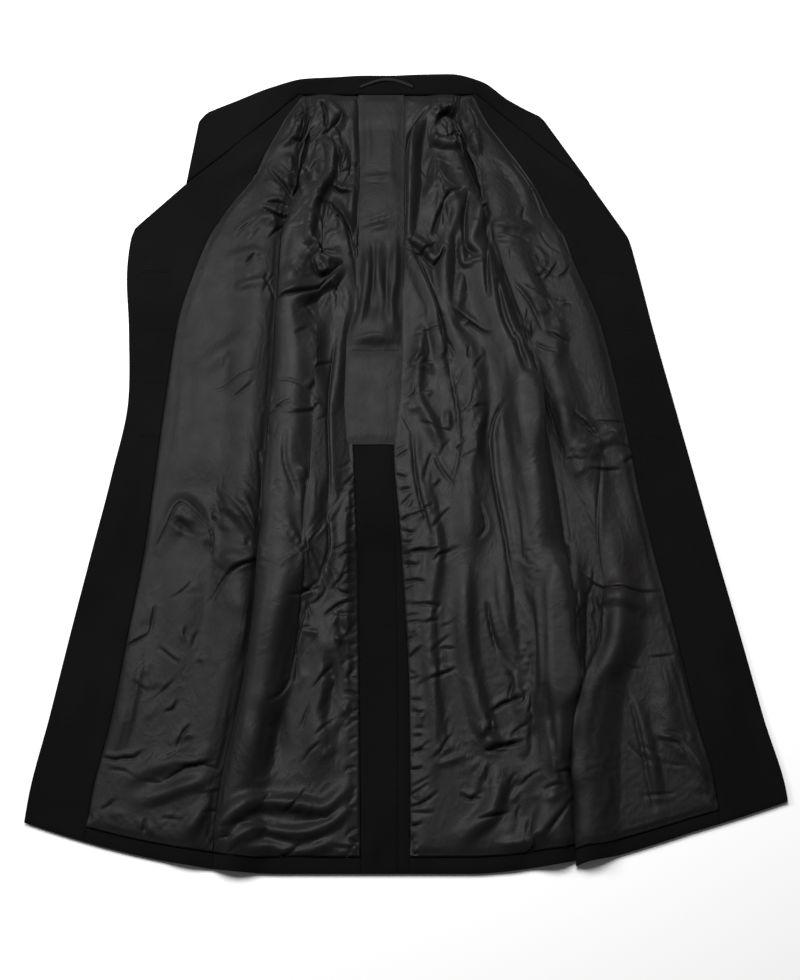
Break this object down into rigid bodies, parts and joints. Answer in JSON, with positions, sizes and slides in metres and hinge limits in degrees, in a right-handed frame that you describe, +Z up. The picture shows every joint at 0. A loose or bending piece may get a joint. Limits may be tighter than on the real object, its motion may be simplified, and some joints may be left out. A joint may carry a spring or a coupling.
{
  "type": "greatcoat",
  "caption": "Long black wool double-breasted greatcoat laid open and flat, its grey satin lining, wide lapels and turned collar facing up.",
  "frame": {"origin": "middle of the laid coat's outline, on the surface it lies on", "axes": "+Y from the hem to the collar, +Z up out of the lining, +X to the right of someone who looks down on the lining from the hem"},
  "size_m": [0.9329, 1.1869, 0.0413],
  "materials": {
    "wool": "heavy melton with a soft nap, near black",
    "lining": "satin twill, dark grey",
    "strap": "narrow folded strap of lining cloth",
    "button": "plain domed brass, satin"
  },
  "bodies": {
    "root": {"front_left": "wool", "front_right": "wool", "back_left": "wool", "back_right": "wool", "facing_left": "wool", "facing_right": "wool", "hem_front_left": "wool", "hem_front_right": "wool", "hem_back_left": "wool", "hem_back_right": "wool", "vent_facing": "wool", "vent_underlap": "wool", "collar": "wool", "sleeve_left": "wool", "sleeve_right": "wool", "lining_front_left": "lining", "lining_front_right": "lining", "lining_back_left": "lining", "lining_back_right": "lining", "vent_stay": "lining", "centre_strip": "lining", "hanger_loop": "strap", "button_left_1": "button", "button_left_2": "button", "button_left_3": "button", "button_left_4": "button", "button_right_1": "button", "button_right_2": "button", "button_right_3": "button", "button_right_4": "button"}
  },
  "joints": []
}
